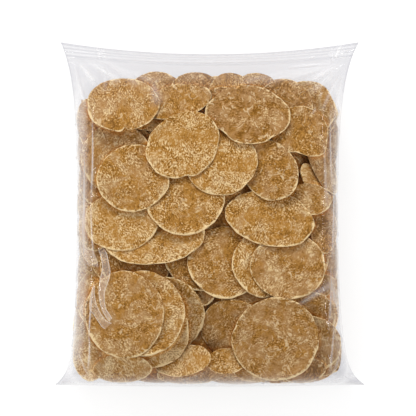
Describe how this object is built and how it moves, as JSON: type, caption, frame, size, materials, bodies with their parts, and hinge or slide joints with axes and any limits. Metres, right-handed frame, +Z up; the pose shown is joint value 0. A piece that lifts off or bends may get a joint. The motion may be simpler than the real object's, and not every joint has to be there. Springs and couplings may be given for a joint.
{
  "type": "bag of sago papads",
  "caption": "Clear zip-topped film bag, sealed at both ends and filled with round, tan-brown sago papads. It lies on its back with the filled front up.",
  "frame": {"origin": "middle of the bag's plan, on the surface that it lies on", "axes": "+X across the bag to its right side as seen from the front, +Y from the foot seal to the zip, +Z up through the filled front"},
  "size_m": [0.2726, 0.303, 0.0831],
  "materials": {
    "clear_film": "clear glossy film, a little milky where it stands off the papads",
    "papad": "dry tan-brown sago sheet with pale flecks, satin where it touches the film"
  },
  "bodies": {
    "root": {"papad_bag": "clear_film"}
  },
  "joints": []
}
